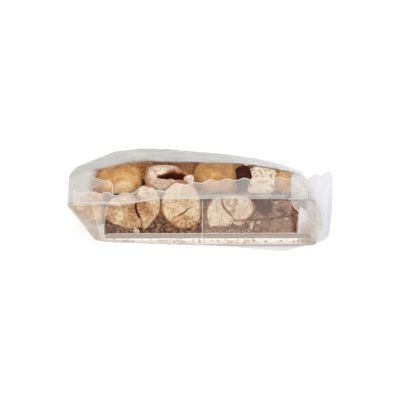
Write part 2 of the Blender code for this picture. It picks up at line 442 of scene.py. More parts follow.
def fold_lines():
    """The front seal's root, the folds along the left and right sides, and the back seal's root."""
    front = [
        (BAG_LEFT + 0.0006, SEAL_FRONT + 0.0025, SIDE_FOLD_HEIGHT + 0.0004),
        (-0.0250, SEAL_FRONT, SEAL_ROOT_LEFT),
        (-0.0100, SEAL_FRONT, SEAL_ROOT_RIGHT),
        (0.0300, SEAL_FRONT, SEAL_ROOT_RIGHT),
        (BAG_RIGHT - 0.0030, SEAL_FRONT + 0.0022, SEAL_ROOT_RIGHT - 0.0018),
    ]
    left = [
        (BAG_LEFT, -0.0040, SIDE_FOLD_HEIGHT + 0.0006),
        (BAG_LEFT + 0.0009, 0.0100, SIDE_FOLD_HEIGHT + 0.0012),
        (BAG_LEFT + 0.0024, 0.0180, SIDE_FOLD_HEIGHT + 0.0010),
        (BAG_LEFT - 0.0001, 0.0040, SIDE_FOLD_HEIGHT + 0.0032),
        (BAG_LEFT + 0.0020, 0.0100, SIDE_FOLD_HEIGHT + 0.0041),
    ]
    right = [
        (BAG_RIGHT, -0.0190, 0.0040),
        (BAG_RIGHT - 0.0042, 0.0040, SIDE_FOLD_HEIGHT),
        (BAG_RIGHT - 0.0044, 0.0150, SIDE_FOLD_HEIGHT - 0.0023),
    ]
    back = [
        (BACK_SEAL_LEFT, BACK_SEAL_Y, BACK_SEAL_Z),
        (BACK_SEAL_RIGHT, BACK_SEAL_Y, BACK_SEAL_Z - 0.0012),
    ]
    return front + left + right + back


def bar_top():
    """High spots of the bar that hold the film up: front edge, back edge, then the middle."""
    front = [
        (BAR_LEFT + 0.0080, BAR_FRONT + 0.0020, BAR_TOP),
        (BAR_LEFT + 0.0320, BAR_FRONT + 0.0010, BAR_TOP + 0.0015),
        (0.0050, BAR_FRONT + 0.0010, BAR_TOP + 0.0016),
        (0.0220, BAR_FRONT + 0.0020, BAR_TOP + 0.0004),
        (BAR_RIGHT - 0.0010, BAR_FRONT + 0.0030, BAR_TOP - 0.0006),
    ]
    back = [
        (BAR_LEFT + 0.0030, BAR_BACK - 0.0020, BAR_TOP - 0.0013),
        (BAR_LEFT + 0.0102, BAR_BACK + 0.0015, BAR_TOP + 0.0008),
        (BAR_LEFT + 0.0190, BAR_BACK + 0.0010, BAR_TOP + 0.0020),
        (-0.0130, BAR_BACK + 0.0015, BAR_TOP + 0.0016),
        (0.0, BAR_BACK + 0.0015, BAR_TOP + 0.0006),
        (0.0110, BAR_BACK + 0.0010, BAR_TOP - 0.0001),
        (0.0220, BAR_BACK + 0.0010, BAR_TOP - 0.0017),
        (0.0305, BAR_BACK, BAR_TOP - 0.0035),
        (BAR_RIGHT + 0.0022, BAR_BACK - 0.0010, BAR_TOP - 0.0057),
    ]
    middle = [
        (BAR_LEFT + 0.0030, -0.0060, BAR_TOP - 0.0006),
        (BAR_LEFT + 0.0180, 0.0080, BAR_TOP + 0.0028),
        (0.0, 0.0060, BAR_TOP + 0.0018),
        (0.0220, 0.0040, BAR_TOP + 0.0002),
        (BAR_RIGHT, -0.0020, BAR_TOP - 0.0018),
    ]
    return front + back + middle


def ball_points(x, y, top, radius):
    """Points on a ball whose top is at this height, and that never sinks below the base."""
    inset = BALL_INSET * radius
    centre = Vector((x - math.copysign(inset, x), y - math.copysign(inset, y), max(top - radius, radius)))
    points = []
    for ring in range(BALL_RINGS + 1):
        tilt = math.pi * ring / BALL_RINGS
        steps = 2 * BALL_RINGS if 0 < ring < BALL_RINGS else 1
        for step in range(steps):
            turn = math.tau * step / steps
            across = math.sin(tilt)
            offset = Vector((across * math.cos(turn), across * math.sin(turn), -math.cos(tilt)))
            points.append(centre + offset * radius)
    return points


def film_hull():
    shape = bmesh.new()
    for places, radius in (
        (base_outline(), BASE_ROUNDING),
        (fold_lines(), FOLD_ROUNDING),
        (bar_top(), TOP_ROUNDING),
    ):
        for place in places:
            for point in ball_points(*place, radius):
                shape.verts.new(point)
    skin = bmesh.ops.convex_hull(shape, input=shape.verts)
    inside = set(skin["geom_interior"] + skin["geom_unused"])
    inside = [item for item in inside if isinstance(item, bmesh.types.BMVert)]
    bmesh.ops.delete(shape, geom=inside, context="VERTS")
    bmesh.ops.remove_doubles(shape, verts=shape.verts, dist=0.00002)
    bmesh.ops.recalc_face_normals(shape, faces=shape.faces)
    return mesh_of(shape, "film_hull")


def even_mesh(mesh, voxel, rounds):
    """The mesh rebuilt as one even skin and then smoothed."""
    carrier = place_object("carrier", mesh)
    remesh = carrier.modifiers.new("remesh", "REMESH")
    remesh.mode = "VOXEL"
    remesh.voxel_size = voxel
    smooth = carrier.modifiers.new("smooth", "SMOOTH")
    smooth.factor = 0.5
    smooth.iterations = rounds
    graph = bpy.context.evaluated_depsgraph_get()
    result = bpy.data.meshes.new_from_object(carrier.evaluated_get(graph))
    bpy.data.objects.remove(carrier, do_unlink=True)
    return result


def tree_of(mesh):
    shape = bmesh.new()
    shape.from_mesh(mesh)
    tree = BVHTree.FromBMesh(shape)
    shape.free()
    return tree


def film_wrinkles(mesh):
    """Soft hollows between the film's supports, and finer wrinkles that run out of the seal's ends."""
    normals = [vertex.normal.copy() for vertex in mesh.vertices]
    for vertex, normal in zip(mesh.vertices, normals):
        place = vertex.co
        soft = noise.noise(place * 95.0)
        fine = noise.noise(Vector((place.x * 160.0, place.y * 420.0, place.z * 420.0)))
        reach = smooth_step(0.030, 0.044, abs(place.x)) * smooth_step(-0.004, -0.020, place.y)
        depth = 0.00016 * soft + 0.00010 * fine * (0.35 + reach) - 0.00012
        vertex.co = place + normal * depth * smooth_step(0.0002, 0.0015, place.z)
    return mesh


# ---------------------------------------------------------------- sheets of film
def grid_mesh(name, rows, masks=(0.0, 0.0, 0.5)):
    """A sheet through rows of points, with the same masks all over."""
    shape = bmesh.new()
    grid = [[shape.verts.new(point) for point in row] for row in rows]
    for low, high in zip(grid, grid[1:]):
        for step in range(len(low) - 1):
            shape.faces.new((low[step], low[step + 1], high[step + 1], high[step]))
    mesh = mesh_of(shape, name)
    store_masks(mesh, [masks] * len(mesh.vertices))
    return mesh


def store_masks(mesh, masks, name="masks"):
    layer = mesh.color_attributes.new(name, "FLOAT_COLOR", "POINT")
    for item, values in zip(layer.data, masks):
        item.color = (*values, 1.0)


def scallop(distance):
    """How far the wavy cut stands out or in at this distance along a seal."""
    wave = math.cos(math.tau * distance / SCALLOP_PITCH)
    return 0.5 * SCALLOP_HEIGHT * (wave + 0.25 * flat_noise(distance * 300.0, 0.0, 3.0))


def front_seal_width(x):
    share = (x - SEAL_LEFT) / (SEAL_RIGHT - SEAL_LEFT)
    swell = sum(change * math.exp(-(((x - place) / reach) ** 2))
                for place, reach, change in SEAL_SWELLS)
    return mix(SEAL_WIDTH_LEFT, SEAL_WIDTH_RIGHT, share) + swell + scallop(x - SEAL_LEFT)


def front_seal_point(x, share_up):
    """The point of the front seal at x and at this share of its width from its root to its cut edge."""
    share = (x - SEAL_LEFT) / (SEAL_RIGHT - SEAL_LEFT)
    rise = smooth_step(SEAL_RISE_FROM, SEAL_RISE_TO, x)
    root = Vector((x, SEAL_FRONT - 0.0003, mix(SEAL_ROOT_LEFT, SEAL_ROOT_RIGHT, rise) - 0.0004))
    stand = mix(SEAL_SHOULDER_LEFT, SEAL_SHOULDER_RIGHT, rise)
    shoulder = root + Vector((0.0, -0.0002, stand))
    lean = mix(SEAL_LEAN_LEFT, SEAL_LEAN_RIGHT, smooth_step(0.15, 0.60, share))
    width = front_seal_width(x)
    along = share_up * width
    if along < stand:
        return root.lerp(shoulder, along / stand)
    return shoulder + Vector((0.0, math.sin(lean), math.cos(lean))) * (along - stand)


def sheet_rows(levels, steps, point_at):
    """Rows of points over a sheet; point_at takes the share up the sheet and the share across it."""
    return [[point_at(level / levels, step / steps) for step in range(steps + 1)]
            for level in range(levels + 1)]


def crimp(up):
    """The fine ribs that the sealing jaws press into the film, at this height above the root."""
    return math.cos(math.tau * up / CRIMP_PITCH)


def front_seal_rows():
    def point_at(share, across):
        x = mix(SEAL_LEFT, SEAL_RIGHT, across)
        point = front_seal_point(x, share)
        up = share * front_seal_width(x)
        ribs = 0.00005 * crimp(up) * smooth_step(0.0045, 0.0030, up)
        buckle = 0.00035 * flat_noise(x * 110.0, share * 0.8, 7.0) * share
        point.y += (ribs + buckle) * smooth_step(0.0, 0.1, share)
        return point

    return sheet_rows(SEAL_LEVELS, round((SEAL_RIGHT - SEAL_LEFT) / FILM_STEP), point_at)


def back_seal_rows():
    out = Vector((0.0, math.cos(BACK_SEAL_DROP), -math.sin(BACK_SEAL_DROP)))

    def point_at(share, across):
        x = mix(BACK_SEAL_LEFT, BACK_SEAL_RIGHT, across)
        width = BACK_SEAL_WIDTH + scallop(x - BACK_SEAL_LEFT)
        point = Vector((x, BACK_SEAL_Y, BACK_SEAL_Z - 0.0012)) + out * width * share
        up = share * width
        ribs = 0.00006 * crimp(up) * smooth_step(0.0062, 0.0045, up)
        point.z += ribs + 0.0004 * flat_noise(x * 90.0, share * 0.8, 17.0) * share
        return point

    return sheet_rows(SEAL_LEVELS, round((BACK_SEAL_RIGHT - BACK_SEAL_LEFT) / FILM_STEP), point_at)


def polyline_point(points, share):
    """The point at this share along a run of points, by their index."""
    place = share * (len(points) - 1)
    first = min(int(place), len(points) - 2)
    return Vector(points[first]).lerp(Vector(points[first + 1]), place - first)


def ear_rows():
    feet = [(0.0360, -0.0255), (0.0395, -0.0242), (0.0418, -0.0222), (0.0434, -0.0192), (0.0443, -0.0160)]
    tops = [(0.0368, -0.0021), (0.0390, -0.0009), (0.0401, -0.0006), (0.0415, -0.0012), (0.0432, 0.0001),
            (0.0441, 0.0007), (EAR_RIGHT, -0.0003)]
    foot = [(x, y, EAR_FOOT - 0.0004) for x, y in feet]
    head = [(x, EAR_BACK, EAR_TOP + rise) for x, rise in tops]

    def point_at(share, across):
        point = polyline_point(foot, across).lerp(polyline_point(head, across), share)
        point.x += 0.0006 * math.sin(math.pi * share) * across
        point.y += 0.0002 * flat_noise(across * 2.0, share * 2.5, 30.0)
        return point

    return sheet_rows(40, 24, point_at)


def lip_rows():
    back = [(x, LIP_BACK, LIP_HEIGHT) for x in (0.0030, 0.0256, 0.0300, 0.0345)]
    front = [(0.0048, -0.0276), (0.0256, LIP_FRONT), (0.0292, LIP_FRONT), (0.0345, -0.0287)]
    front = [(x, y, LIP_HEIGHT) for x, y in front]

    def point_at(share, across):
        return polyline_point(back, across).lerp(polyline_point(front, across), share)

    return sheet_rows(8, 60, point_at)


def ribbon(name, line, width):
    """A narrow strip in front of a run of points, standing up as the front seal does."""
    rows = [[], [], []]
    for place in line:
        half = 0.5 * width * (1.0 + 0.4 * noise.noise(place * 500.0))
        rows[0].append(place + Vector((0.0, -PATCH_LIFT, -half)))
        rows[1].append(place + Vector((0.0, -PATCH_LIFT - 0.00006, 0.0)))
        rows[2].append(place + Vector((0.0, -PATCH_LIFT, half)))
    return grid_mesh(name, rows)


# ---------------------------------------------------------------- film laid over film
def film_spot(skin, x, z, lift):
    """The film in front of this point of the bar's cut face, lifted off by this much, and its normal."""
    aim = Vector((x, CUT_FACE, z))
    place, normal, _, _ = skin.ray_cast(CAMERA_PLACE, (aim - CAMERA_PLACE).normalized())
    if place is None:
        place, normal, _, _ = skin.find_nearest(aim)
    return place + normal * lift, normal


def rounded(points, steps=8, closed=False):
    """A smooth run through the points (Catmull-Rom)."""
    points = [Vector(point) for point in points]
    count = len(points)
    result = []
    for span in range(count if closed else count - 1):
        places = [span - 1, span, span + 1, span + 2]
        places = [place % count if closed else min(max(place, 0), count - 1) for place in places]
        before, first, second, after = (points[place] for place in places)
        for step in range(steps):
            share = step / steps
            square, cube = share * share, share * share * share
            point = first * 2.0 + (second - before) * share
            point += (before * 2.0 - first * 5.0 + second * 4.0 - after) * square
            point += (first * 3.0 - before - second * 3.0 + after) * cube
            result.append(point * 0.5)
    if not closed:
        result.append(points[-1])
    return result


def evenly(points, gap):
    """The run of points again, at about even gaps."""
    lengths = [0.0]
    for first, second in zip(points, points[1:]):
        lengths.append(lengths[-1] + (second - first).length)
    count = max(round(lengths[-1] / gap), 2)
    result = []
    span = 0
    for step in range(count + 1):
        reach = lengths[-1] * step / count
        while span < len(points) - 2 and lengths[span + 1] < reach:
            span += 1
        share = (reach - lengths[span]) / max(lengths[span + 1] - lengths[span], 1e-9)
        result.append(points[span].lerp(points[span + 1], min(share, 1.0)))
    return result


def laid_patch(name, skin, low_line, high_line):
    """A second layer of film between two runs of (x, z) points."""
    low = evenly([Vector(point) for point in low_line], FILM_STEP)
    count = len(low) - 1
    high_run = [Vector(point) for point in high_line]
    high = [polyline_at(high_run, step / count) for step in range(count + 1)]
    levels = max(round(max((b - a).length for a, b in zip(low, high)) / FILM_STEP), 2)
    rows = []
    for level in range(levels + 1):
        row = []
        for first, second in zip(low, high):
            seen = first.lerp(second, level / levels)
            ripple = 0.00008 * flat_noise(seen.x * 500.0, seen.y * 500.0, 9.0)
            row.append(film_spot(skin, seen.x, seen.y, PATCH_LIFT + ripple)[0])
        rows.append(row)
    return grid_mesh(name, rows, (0.0, 0.0, 0.8))


def polyline_at(points, share):
    """The point at this share of the run's length."""
    lengths = [(second - first).length for first, second in zip(points, points[1:])]
    reach = share * sum(lengths)
    for index, length in enumerate(lengths):
        if reach <= length or index == len(lengths) - 1:
            return points[index].lerp(points[index + 1], min(reach / max(length, 1e-9), 1.0))
        reach -= length
    return points[-1]


def laid_crease(name, skin, line, width):
    """A raised crease along a run of (x, z) points, thinning out at both ends."""
    run = evenly(rounded(line), CREASE_STEP)
    spots = [film_spot(skin, point.x, point.y, CREASE_LIFT) for point in run]
    rows = [[], [], []]
    last = len(spots) - 1
    for index, (place, normal) in enumerate(spots):
        ahead = spots[min(index + 1, last)][0] - spots[max(index - 1, 0)][0]
        side = normal.cross(ahead).normalized()
        share = index / last
        taper = smooth_step(0.0, 0.12, share) * smooth_step(1.0, 0.88, share)
        half = 0.5 * width * (0.35 + 0.65 * taper) * (1.0 + 0.35 * noise.noise(place * 700.0))
        rows[0].append(place - side * half)
        rows[1].append(place + normal * CREASE_HEIGHT * taper)
        rows[2].append(place + side * half)
    return grid_mesh(name, rows)


# ---------------------------------------------------------------- brittle
def unit_ball(levels):
    shape = bmesh.new()
    bmesh.ops.create_icosphere(shape, subdivisions=levels, radius=1.0)
    return shape


def keep_inside(mesh, film):
    """Presses every point that would touch the film back inside it."""
    for vertex in mesh.vertices:
        place, normal, _, _ = film.find_nearest(vertex.co)
        gap = (place - vertex.co).dot(normal)
        if gap < CLEARANCE:
            vertex.co = vertex.co - normal * (CLEARANCE - gap)


def distance_to_line(point, line):
    """The least distance in a plane from the point to a run of points."""
    best = 1.0
    for (ax, ay), (bx, by) in zip(line, line[1:]):
        dx, dy = bx - ax, by - ay
        share = min(max(((point[0] - ax) * dx + (point[1] - ay) * dy) / (dx * dx + dy * dy), 0.0), 1.0)
        best = min(best, math.hypot(point[0] - ax - dx * share, point[1] - ay - dy * share))
    return best


def near(point, line, far, full, wave=0.0):
    """Nought at the far distance from a run of points, one at the full distance and nearer."""
    return smooth_step(far, full, distance_to_line(point, line) + wave)


class CutNut:
    """A nut or piece of nut with one cut face.

    The face's outline is a run of (u, v) points about the centre; u runs along X and v up the
    face, which is tilted back by so many degrees. Relief and marks are functions of (u, v).
    """

    RINGS = 64
    TURNS = 180
    BACK_RINGS = 14
    BACK_MASK = (0.8, 0.0, 0.0)

    def __init__(self, name, centre, outline, depth, seed, tilt=0.0, relief=None, marks=None,
                 bevel=0.0005, hollow=0.0):
        self.name = name
        self.centre = Vector(centre)
        self.depth = depth
        self.relief = relief
        self.marks = marks
        self.seed = seed
        self.bevel = bevel
        self.tilt = tilt
        self.hollow = hollow
        angle = math.radians(tilt)
        self.up = Vector((0.0, math.sin(angle), math.cos(angle)))
        self.out = Vector((0.0, -math.cos(angle), math.sin(angle)))
        self.radii = self.radii_of(outline)

    def radii_of(self, outline):
        run = rounded([(*point, 0.0) for point in outline], 12, closed=True)
        polar = sorted((math.atan2(point.y, point.x) % math.tau, point.length) for point in run)
        radii = []
        for turn in range(self.TURNS):
            angle = math.tau * turn / self.TURNS
            after = next((index for index, item in enumerate(polar) if item[0] >= angle), 0)
            (low, first), (high, second) = polar[after - 1], polar[after]
            span = (high - low) % math.tau
            share = ((angle - low) % math.tau) / span if span else 0.0
            way = Vector((math.cos(angle), math.sin(angle), self.seed * 1.7))
            radii.append(mix(first, second, share) * (1.0 + 0.012 * noise.noise(way * 9.0)))
        return radii

    def point(self, u, v, height):
        return self.centre + Vector((u, 0.0, 0.0)) + self.up * v + self.out * height

    def polar_point(self, reach, angle, height):
        return self.point(reach * math.cos(angle), reach * math.sin(angle), height)

    def build(self, material, film):
        shape = bmesh.new()
        masks = []
        rings = []
        for ring in range(1, self.RINGS + 1):
            share = (ring / self.RINGS) ** 0.8
            row = []
            for turn, radius in enumerate(self.radii):
                angle = math.tau * turn / self.TURNS
                row.append(self.face_vertex(shape, masks, share, radius, angle))
            rings.append(row)
        for ring in range(1, self.BACK_RINGS + 1):
            share = ring / self.BACK_RINGS
            row = []
            for turn, radius in enumerate(self.radii):
                angle = math.tau * turn / self.TURNS
                reach = max(radius * max(math.cos(share * math.pi / 2.0), 0.0) ** 0.85, 0.0002)
                height = -self.bevel - self.depth * math.sin(share * math.pi / 2.0)
                row.append(shape.verts.new(self.polar_point(reach, angle, height)))
                masks.append(self.BACK_MASK)
            rings.append(row)
        hub = self.face_vertex(shape, masks, 0.0, 0.0, 0.0)
        tail = shape.verts.new(self.point(0.0, 0.0, -self.bevel - self.depth))
        masks.append(self.BACK_MASK)
        for low, high in zip(rings, rings[1:]):
            for turn in range(self.TURNS):
                after = (turn + 1) % self.TURNS
                shape.faces.new((low[turn], high[turn], high[after], low[after]))
        for turn in range(self.TURNS):
            after = (turn + 1) % self.TURNS
            shape.faces.new((hub, rings[0][turn], rings[0][after]))
            shape.faces.new((tail, rings[-1][after], rings[-1][turn]))
        bmesh.ops.recalc_face_normals(shape, faces=shape.faces)
        mesh = mesh_of(shape, self.name)
        store_masks(mesh, masks)
        keep_inside(mesh, film)
        return add_object(self.name, mesh, material)

    def face_vertex(self, shape, masks, share, radius, angle):
        u = share * radius * math.cos(angle)
        v = share * radius * math.sin(angle)
        rim_gap = (1.0 - share) * radius
        place = Vector((u * 1000.0, v * 1000.0, self.seed * 11.0))
        height = 0.00016 * noise.noise(place * 0.55) + 0.00007 * noise.noise(place * 1.7)
        if radius:
            height -= self.bevel * smooth_step(self.bevel * 2.0, 0.0, rim_gap) ** 2
        mask = [0.0, 0.0, 0.0]
        if radius:
            ragged = 0.00045 * (1.0 + 0.8 * noise.noise(place * 1.3))
            mask[0] = 0.75 * smooth_step(ragged, 0.0, rim_gap)
        if self.relief:
            height += self.relief(u, v)
        if self.marks:
            self.marks(u, v, mask)
        masks.append(mask)
        return shape.verts.new(self.point(u, v, height))

    def bulk(self):
        """Points on the nut's back, for the caramel that holds it."""
        points = []
        for level in (0.0, 0.25, 0.55, 0.85):
            share = mix(self.hollow, 1.0, level)
            for turn in range(0, self.TURNS, 12):
                angle = math.tau * turn / self.TURNS
                reach = self.radii[turn] * math.cos(share * math.pi / 2.0) ** 0.85
                points.append(self.polar_point(reach, angle, -self.depth * share))
        return points


class WholeNut:
    """A rounded nut in its coat. A square power under one makes it boxier."""

    def __init__(self, name, centre, half, seed, lumps=0.05, marks=None, square=1.0):
        self.name = name
        self.centre = Vector(centre)
        self.half = Vector(half)
        self.seed = seed
        self.lumps = lumps
        self.marks = marks
        self.square = square

    def build(self, material, film):
        shape = unit_ball(5)
        offset = Vector((self.seed * 3.7, self.seed * 1.9, self.seed * 5.3))
        masks = []
        for vertex in shape.verts:
            way = vertex.co.copy()
            lump = self.lumps * (noise.noise(way * 1.5 + offset) + 0.35 * noise.noise(way * 4.5 + offset))
            body = Vector(math.copysign(abs(way[axis]) ** self.square, way[axis]) for axis in range(3))
            body = Vector(body[axis] * self.half[axis] for axis in range(3)) * (1.0 + lump)
            vertex.co = self.centre + body
            mask = [0.0, 0.0, 0.0]
            if self.marks:
                self.marks(vertex, mask)
            masks.append(mask)
        mesh = mesh_of(shape, self.name)
        store_masks(mesh, masks)
        keep_inside(mesh, film)
        return add_object(self.name, mesh, material)


def shifted(points, centre):
    """(x, z) points as (u, v) points about this centre."""
    return [(x - centre[0], z - centre[2]) for x, z in points]


def front_nuts():
    """The cut nuts in the bar's front face, from the left."""
    nuts = []

    centre = (-0.0264, CUT_FACE, 0.0093)
    outline = shifted(
        [(-0.0269, 0.0152), (-0.0222, 0.0150), (-0.0217, 0.0118), (-0.0211, 0.0086), (-0.0197, 0.0052),
         (-0.0215, 0.0034), (-0.0246, 0.0035), (-0.0276, 0.0043), (-0.0307, 0.0057), (-0.0322, 0.0074),
         (-0.0325, 0.0094), (-0.0317, 0.0119), (-0.0300, 0.0140)], centre)
    rough = lumps_relief(0.0012, 0.00045, 31.0)
    dark = shifted([(-0.0236, 0.0118), (-0.0232, 0.0095), (-0.0226, 0.0076)], centre)
    cleft_a = shifted(CLEFT, centre)

    def tan_left(u, v, mask):
        spots = flat_noise(u * 330.0, v * 330.0, 2.0) + 0.4 * flat_noise(u * 900.0, v * 900.0, 9.0)
        low = smooth_step(0.0012, -0.0033, v) * smooth_step(-0.0006, 0.0034, u)
        speckled = 0.62 * smooth_step(0.20, -0.12, spots)
        mask[2] = max(near((u, v), dark, 0.0030, 0.0008), speckled, 0.4 * low)
        # painted shade in the cleft beside the next nut
        mask[1] = near((u, v), cleft_a, 0.0006, 0.0002)

    nuts.append(CutNut("nut_front_a", centre, outline, 0.0065, relief=rough, marks=tan_left, seed=1))

    centre = (-0.0178, CUT_FACE, 0.0108)
    outline = shifted(
        [(-0.0184, 0.0188), (-0.0164, 0.0184), (-0.0147, 0.0167), (-0.0136, 0.0140), (-0.0135, 0.0114),
         (-0.0142, 0.0089), (-0.0160, 0.0061), (-0.0183, 0.0035), (-0.0195, 0.0034), (-0.0199, 0.0054),
         (-0.0206, 0.0077), (-0.0214, 0.0098), (-0.0217, 0.0125), (-0.0214, 0.0155),
         (-0.0203, 0.0179)], centre)
    core = shifted([(-0.0200, 0.0134), (-0.0192, 0.0105), (-0.0180, 0.0092)], centre)
    cleft_b = shifted(CLEFT, centre)

    def brown_core(u, v, mask):
        wave = 0.0007 * flat_noise(u * 600.0, v * 600.0, 8.0)
        low = 0.45 * smooth_step(-0.0028, -0.0058, v)
        arcs = 0.5 + 0.5 * math.sin(distance_to_line((u, v), core) * 7000.0 + wave * 3000.0)
        mask[2] = max(near((u, v), core, 0.0030, 0.0012, wave), low, 0.3 * arcs)
        mask[0] = max(mask[0], 0.35 * near((u, v), core, 0.0016, 0.0002, wave))
        # painted shade in the cleft beside the next nut
        mask[1] = near((u, v), cleft_b, 0.0006, 0.0002)

    nuts.append(CutNut("nut_front_b", centre, outline, 0.0065, relief=lumps_relief(0.0014, 0.0003, 5.0),
                       marks=brown_core, seed=2))

    centre = (-0.0063, CUT_FACE, 0.0116)
    outline = shifted(
        [(-0.0065, 0.0204), (-0.0038, 0.0195), (-0.0015, 0.0175), (-0.0001, 0.0146), (0.0003, 0.0120),
         (0.0003, 0.0092), (-0.0003, 0.0064), (-0.0021, 0.0042), (-0.0051, 0.0034), (-0.0081, 0.0039),
         (-0.0100, 0.0055), (-0.0119, 0.0075), (-0.0129, 0.0100), (-0.0131, 0.0129), (-0.0124, 0.0155),
         (-0.0109, 0.0179), (-0.0089, 0.0197)], centre)
    slit = shifted([(-0.0074, 0.0081), (-0.0056, 0.0091), (-0.0040, 0.0105), (-0.0026, 0.0115)], centre)
    scar_edge = shifted([(-0.0106, 0.0058), (-0.0090, 0.0079), (-0.0070, 0.0087), (-0.0050, 0.0086),
                         (-0.0030, 0.0076), (-0.0008, 0.0060)], centre)
    fan = (-0.0048 - centre[0], 0.0079 - centre[2])
    rounding = lumps_relief(0.0018, 0.00022, 3.0)

    def slit_share(u, v):
        return near((u, v), slit, 0.00034, 0.000085)

    def slit_relief(u, v):
        return rounding(u, v) - 0.0006 * slit_share(u, v)

    def scar(u, v, mask):
        below = smooth_step(-0.0002, 0.0003, line_height(scar_edge, u) - v)
        inside = smooth_step(1.0, 0.86, math.hypot((u - 0.0013) / 0.0056, (v + 0.0046) / 0.0044))
        angle = math.atan2(v - fan[1], u - fan[0])
        reach = math.hypot(u - fan[0], v - fan[1])
        spoke = 0.5 + 0.5 * math.sin(angle * 13.0 + 2.0 * flat_noise(angle * 3.0, 0.0, 0.0))
        tone = 0.85 - 0.50 * smooth_step(0.35, 0.95, spoke) * smooth_step(0.0006, 0.0018, reach)
        mask[2] = below * inside * tone
        # painted shade in the slit, over its groove
        mask[1] = 0.9 * slit_share(u, v)
        mask[1] *= smooth_step(0.0038, 0.0010, u) * smooth_step(-0.0014, 0.0004, u)

    nuts.append(CutNut("nut_front_c", centre, outline, 0.0075, relief=slit_relief, marks=scar, seed=3))

    centre = (0.0065, CUT_FACE, 0.0092)
    outline = shifted(
        [(0.0066, 0.0146), (0.0073, 0.0142), (0.0075, 0.0122), (0.0084, 0.0104), (0.0100, 0.0085),
         (0.0114, 0.0068), (0.0109, 0.0050), (0.0089, 0.0041), (0.0061, 0.0043), (0.0034, 0.0042),
         (0.0025, 0.0064), (0.0024, 0.0094), (0.0034, 0.0126), (0.0051, 0.0143)], centre)
    nuts.append(CutNut("nut_front_d", centre, outline, 0.0065, relief=grooves(0.0011, 0.00018),
                       marks=fibres(0.35), seed=4))

    centre = (0.0131, CUT_FACE, 0.0105)
    outline = shifted(
        [(0.0110, 0.0151), (0.0147, 0.0149), (0.0171, 0.0139), (0.0182, 0.0115), (0.0179, 0.0090),
         (0.0161, 0.0069), (0.0136, 0.0063), (0.0118, 0.0066), (0.0103, 0.0087), (0.0086, 0.0107),
         (0.0078, 0.0125), (0.0078, 0.0144)], centre)
    veins = [shifted([(0.0124, 0.0150), (0.0118, 0.0120), (0.0106, 0.0098)], centre),
             shifted([(0.0118, 0.0104), (0.0112, 0.0090)], centre),
             shifted([(0.0094, 0.0144), (0.0098, 0.0118)], centre)]

    def vein_marks(u, v, mask):
        wave = 0.0005 * flat_noise(u * 700.0, v * 700.0, 4.0)
        mask[2] = max(0.65 * near((u, v), line, 0.0009, 0.0002, wave) for line in veins)

    nuts.append(CutNut("nut_front_e", centre, outline, 0.0065, relief=lumps_relief(0.0020, 0.00022, 12.0),
                       marks=vein_marks, seed=5))

    centre = (0.0132, CUT_FACE, 0.0055)
    outline = shifted(
        [(0.0112, 0.0056), (0.0126, 0.0062), (0.0143, 0.0062), (0.0154, 0.0058), (0.0143, 0.0049),
         (0.0126, 0.0046)], centre)
    nuts.append(CutNut("nut_front_f", centre, outline, 0.0030, marks=fibres(0.5), seed=6, bevel=0.0003))
    return nuts


def line_height(line, u):
    """The height of a run of points, taken as a graph, at u."""
    for (au, av), (bu, bv) in zip(line, line[1:]):
        if u <= bu:
            return mix(av, bv, min(max((u - au) / (bu - au), 0.0), 1.0))
    return line[-1][1]


def lumps_relief(size, height, seed):
    def relief(u, v):
        return height * noise.noise(Vector((u / size, v / size, seed)))

    return relief


def grooves(pitch, height):
    def relief(u, v):
        return height * flat_noise(u / pitch * 1.3, v / pitch * 0.25, 40.0)

    return relief


def fibres(tone):
    def marks(u, v, mask):
        mask[2] = tone * smooth_step(0.1, 0.6, flat_noise(u * 900.0, v * 200.0, 41.0))

    return marks


